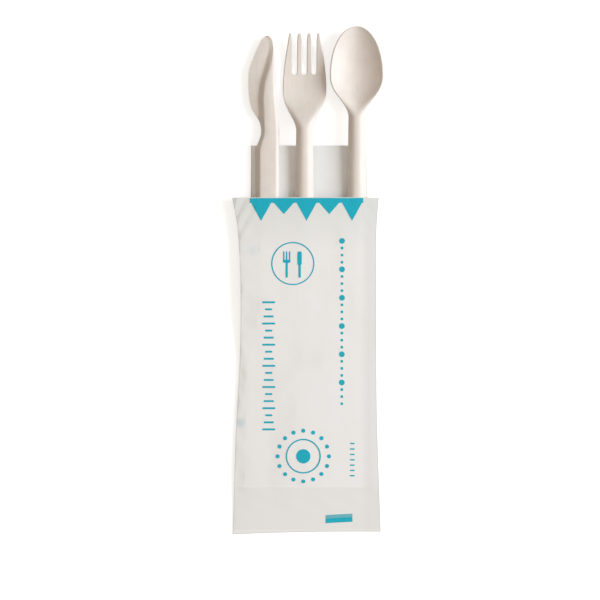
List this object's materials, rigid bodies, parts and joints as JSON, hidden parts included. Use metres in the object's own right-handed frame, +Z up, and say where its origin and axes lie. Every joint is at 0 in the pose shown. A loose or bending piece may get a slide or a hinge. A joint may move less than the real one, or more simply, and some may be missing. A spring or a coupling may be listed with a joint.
{
  "type": "cutlery set",
  "caption": "Takeaway cutlery of cream moulded plastic with a folded paper napkin in a long translucent film pouch, lying on its back.",
  "frame": {"origin": "middle of the pouch's back, on the surface that the set lies on", "axes": "+Y along the pouch from its foot to its mouth and on to the heads of the cutlery, +Z up from the surface, +X to the spoon's side"},
  "size_m": [0.094, 0.3162, 0.0111],
  "materials": {
    "cream_bioplastic": "cream bioplastic with a soft satin sheen",
    "napkin_paper": "soft white tissue paper",
    "pouch_film": "translucent whitish film with a matt surface"
  },
  "bodies": {
    "root": {"knife": "cream_bioplastic", "fork": "cream_bioplastic", "spoon": "cream_bioplastic", "napkin": "napkin_paper", "pouch": "pouch_film"}
  },
  "joints": []
}
